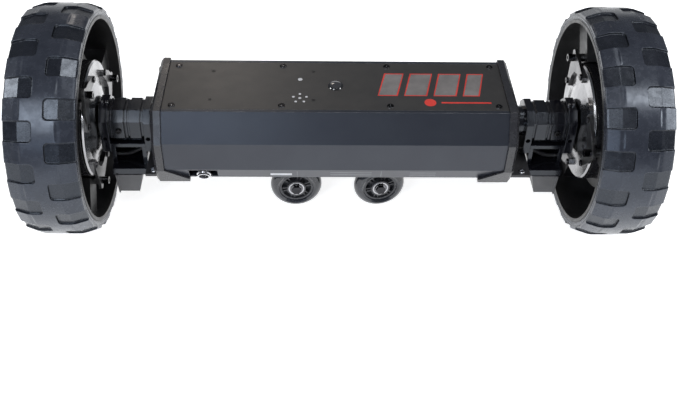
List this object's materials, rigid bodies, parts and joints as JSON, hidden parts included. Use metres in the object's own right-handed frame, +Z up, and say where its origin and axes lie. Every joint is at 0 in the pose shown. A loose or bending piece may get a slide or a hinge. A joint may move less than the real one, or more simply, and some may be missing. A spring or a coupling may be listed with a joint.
{
  "type": "two-wheel electric drive unit",
  "caption": "Box-bodied electric drive unit on a through axle, with a hub-motor wheel and ribbed adaptor at each end and swivelling skate wheels below.",
  "frame": {"origin": "on the floor, under the middle of the wheel axle", "axes": "+X along the axle to the unit's right side, +Y to the rear, +Z up"},
  "size_m": [0.8, 0.3048, 0.3048],
  "materials": {
    "housing": "satin dark blue-grey coat",
    "plate": "fine matt coat",
    "cap": "moulded, fine grain",
    "base_plate": "anodised grey",
    "black_screw": "black oxide with worn recess",
    "zinc_screw": "zinc plated",
    "bezel": "polished",
    "button": "gloss black",
    "switch": "moulded",
    "lens": "frosted clear",
    "standoff": "flush stud",
    "board": "solder mask",
    "battery": "shrink sleeve",
    "port": "nickel plated",
    "steel": "turned",
    "adaptor": "gloss black moulded",
    "foot": "satin grey coat",
    "cable": "jacket",
    "copper": "windings on laminations",
    "tyre": "gloss dark blue-grey rubber",
    "rim": "glass filled nylon",
    "motor_can": "black coat",
    "motor_cover": "polished aluminium",
    "lug": "brushed",
    "bearing": "ground",
    "caster_steel": "black coat",
    "skate_tyre": "grey polyurethane",
    "skate_core": "moulded nylon"
  },
  "bodies": {
    "chassis": {"housing_shell": "housing", "bottom_plate": "base_plate", "top_plate": "plate", "top_plate_screws": "black_screw", "end_cap_left": "cap", "end_cap_right": "cap", "end_cap_screws": "black_screw", "bottom_plate_screws": "zinc_screw", "button_bezel": "bezel", "power_switch": "switch", "indicator_lenses": "lens", "board_standoffs": "standoff", "controller_board": "board", "battery_pack": "battery", "charge_port": "port", "axle_tube": "steel", "adaptor_screws": "zinc_screw", "caster_crossbar": "caster_steel", "king_bolts": "zinc_screw", "swivel_bearings": "bearing", "adaptor_shell_left": "adaptor", "adaptor_saddle_left": "adaptor", "adaptor_foot_left": "foot", "motor_cable_left": "cable", "motor_shaft_left": "steel", "stator_left": "copper", "adaptor_shell_right": "adaptor", "adaptor_saddle_right": "adaptor", "adaptor_foot_right": "foot", "motor_cable_right": "cable", "motor_shaft_right": "steel", "stator_right": "copper"},
    "button": {"power_button": "button"},
    "drive_wheel_left": {"tyre_left": "tyre", "rim_left": "rim", "motor_housing_left": "motor_can", "motor_cover_left": "motor_cover", "motor_lugs_left": "lug", "lug_screws_left": "black_screw", "lug_bolts_left": "black_screw", "motor_bearings_left": "bearing"},
    "caster_swivel_left": {"caster_arm_left": "caster_steel", "caster_axle_left": "black_screw"},
    "skate_wheel_left": {"skate_tyre_left": "skate_tyre", "skate_core_left": "skate_core", "skate_bearings_left": "bearing"},
    "drive_wheel_right": {"tyre_right": "tyre", "rim_right": "rim", "motor_housing_right": "motor_can", "motor_cover_right": "motor_cover", "motor_lugs_right": "lug", "lug_screws_right": "black_screw", "lug_bolts_right": "black_screw", "motor_bearings_right": "bearing"},
    "caster_swivel_right": {"caster_arm_right": "caster_steel", "caster_axle_right": "black_screw"},
    "skate_wheel_right": {"skate_tyre_right": "skate_tyre", "skate_core_right": "skate_core", "skate_bearings_right": "bearing"}
  },
  "joints": [
    {"name": "button_push", "type": "slide", "parent": "chassis", "child": "button", "axis": [0, 0, -1], "range_m": [0, 0.002], "stiffness_N_per_m": 900},
    {"name": "left_wheel_spin", "type": "hinge", "parent": "chassis", "child": "drive_wheel_left", "pos_m": [-0.3575, 0, 0.1524], "axis": [1, 0, 0], "continuous": true},
    {"name": "left_caster_swivel", "type": "hinge", "parent": "chassis", "child": "caster_swivel_left", "pos_m": [-0.068, 0, 0.078], "axis": [0, 0, 1], "continuous": true},
    {"name": "left_skate_spin", "type": "hinge", "parent": "caster_swivel_left", "child": "skate_wheel_left", "pos_m": [-0.05801, 0.00044, 0.036], "axis": [-0.0436, 0.999, 0], "continuous": true},
    {"name": "right_wheel_spin", "type": "hinge", "parent": "chassis", "child": "drive_wheel_right", "pos_m": [0.3575, 0, 0.1524], "axis": [1, 0, 0], "continuous": true},
    {"name": "right_caster_swivel", "type": "hinge", "parent": "chassis", "child": "caster_swivel_right", "pos_m": [0.0492, 0, 0.078], "axis": [0, 0, 1], "continuous": true},
    {"name": "right_skate_spin", "type": "hinge", "parent": "caster_swivel_right", "child": "skate_wheel_right", "pos_m": [0.0591, 0.00139, 0.036], "axis": [-0.1392, 0.9903, 0], "continuous": true}
  ]
}
